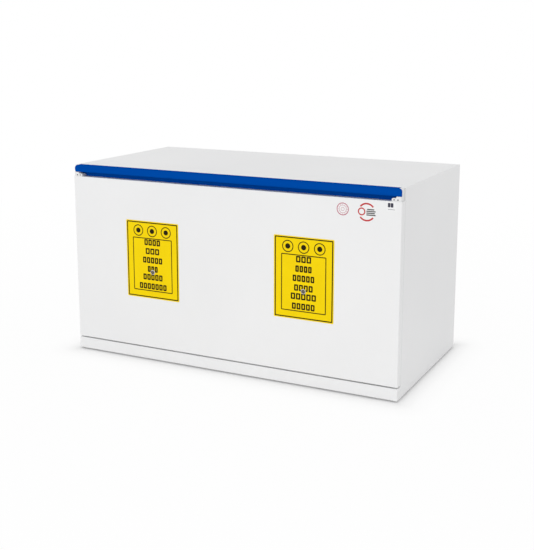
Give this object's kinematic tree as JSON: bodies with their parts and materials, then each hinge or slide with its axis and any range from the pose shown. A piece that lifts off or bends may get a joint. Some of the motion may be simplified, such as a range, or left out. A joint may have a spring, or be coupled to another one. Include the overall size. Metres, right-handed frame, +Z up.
{
  "type": "reagent drawer cabinet",
  "caption": "Low under-bench cabinet with one full-width pull-out front, a grip rail along its top, and a tray on runners in each compartment.",
  "frame": {"origin": "on the floor, in the middle of the overall box", "axes": "+X to the right along the front, +Y from the front to the back, +Z up"},
  "size_m": [1.1, 0.594, 0.61],
  "materials": {
    "white_powder_coat": "satin white powder coat with a fine orange peel",
    "inner_powder_coat": "light grey chemical-resistant powder coat",
    "melamine_board": "light grey melamine-faced board, matt",
    "seal_foam": "dark closed-cell foam strip",
    "grey_plastic": "moulded light grey plastic",
    "zinc_steel": "bright zinc plated steel",
    "black_steel": "black-coated steel screws",
    "foot_plastic": "black moulded plastic",
    "blue_grip": "satin blue extrusion",
    "yellow_plate": "yellow plate with a dark printed border",
    "tray_plastic": "grey polypropylene, moulded"
  },
  "bodies": {
    "casing": {"top_panel": "white_powder_coat", "side_panel_left": "white_powder_coat", "side_panel_right": "white_powder_coat", "back_panel": "white_powder_coat", "base_panel": "white_powder_coat", "plinth_rail": "white_powder_coat", "liner_top": "melamine_board", "liner_left": "melamine_board", "liner_right": "melamine_board", "liner_back": "melamine_board", "liner_floor": "melamine_board", "partition_board": "melamine_board", "front_seal": "seal_foam", "exhaust_spigot_left": "grey_plastic", "exhaust_spigot_right": "grey_plastic", "vent_cover_left": "inner_powder_coat", "vent_cover_right": "inner_powder_coat", "back_screws": "zinc_steel", "foot_inserts": "zinc_steel", "runner_fixed_left_wall": "zinc_steel", "runner_fixed_left_middle": "zinc_steel", "runner_fixed_right_middle": "zinc_steel", "runner_fixed_right_wall": "zinc_steel"},
    "drawer": {"front_skin": "white_powder_coat", "front_board": "melamine_board", "grip_rail": "blue_grip", "grip_end_left": "grey_plastic", "grip_end_right": "grey_plastic", "grip_end_screws": "black_steel", "label_plate_left": "yellow_plate", "label_plate_right": "yellow_plate", "panel_screws": "zinc_steel", "tray_carrier_left": "inner_powder_coat", "tray_carrier_right": "inner_powder_coat", "front_post_left": "inner_powder_coat", "front_post_right": "inner_powder_coat", "gusset_left_outer": "inner_powder_coat", "gusset_left_inner": "inner_powder_coat", "gusset_right_inner": "inner_powder_coat", "gusset_right_outer": "inner_powder_coat", "runner_drawer_left_wall": "zinc_steel", "runner_drawer_left_middle": "zinc_steel", "runner_drawer_right_middle": "zinc_steel", "runner_drawer_right_wall": "zinc_steel"},
    "runner_centres": {"runner_centre_left_wall": "zinc_steel", "runner_centre_left_middle": "zinc_steel", "runner_centre_right_middle": "zinc_steel", "runner_centre_right_wall": "zinc_steel"},
    "tray_left": {"sump_tray_left": "tray_plastic"},
    "grid_left": {"tray_grid_left": "inner_powder_coat"},
    "tray_right": {"sump_tray_right": "tray_plastic"},
    "grid_right": {"tray_grid_right": "inner_powder_coat"},
    "foot_front_left": {"foot_stud_front_left": "zinc_steel", "foot_pad_front_left": "foot_plastic"},
    "foot_front_right": {"foot_stud_front_right": "zinc_steel", "foot_pad_front_right": "foot_plastic"},
    "foot_back_left": {"foot_stud_back_left": "zinc_steel", "foot_pad_back_left": "foot_plastic"},
    "foot_back_right": {"foot_stud_back_right": "zinc_steel", "foot_pad_back_right": "foot_plastic"}
  },
  "joints": [
    {"name": "drawer_travel", "type": "slide", "parent": "casing", "child": "drawer", "axis": [0, -1, 0], "range_m": [0, 0.43]},
    {"name": "runner_centres_travel", "type": "slide", "parent": "casing", "child": "runner_centres", "axis": [0, -1, 0], "range_m": [0, 0.215]},
    {"name": "tray_lift_left", "type": "slide", "parent": "drawer", "child": "tray_left", "axis": [0, 0, 1], "range_m": [0, 0.25]},
    {"name": "grid_lift_left", "type": "slide", "parent": "tray_left", "child": "grid_left", "axis": [0, 0, 1], "range_m": [0, 0.2]},
    {"name": "tray_lift_right", "type": "slide", "parent": "drawer", "child": "tray_right", "axis": [0, 0, 1], "range_m": [0, 0.25]},
    {"name": "grid_lift_right", "type": "slide", "parent": "tray_right", "child": "grid_right", "axis": [0, 0, 1], "range_m": [0, 0.2]},
    {"name": "foot_adjust_front_left", "type": "slide", "parent": "casing", "child": "foot_front_left", "axis": [0, 0, -1], "range_m": [0, 0.01]},
    {"name": "foot_adjust_front_right", "type": "slide", "parent": "casing", "child": "foot_front_right", "axis": [0, 0, -1], "range_m": [0, 0.01]},
    {"name": "foot_adjust_back_left", "type": "slide", "parent": "casing", "child": "foot_back_left", "axis": [0, 0, -1], "range_m": [0, 0.01]},
    {"name": "foot_adjust_back_right", "type": "slide", "parent": "casing", "child": "foot_back_right", "axis": [0, 0, -1], "range_m": [0, 0.01]}
  ],
  "couplings": [
    {"joint": "runner_centres_travel", "follows": "drawer_travel", "ratio": 0.5}
  ]
}
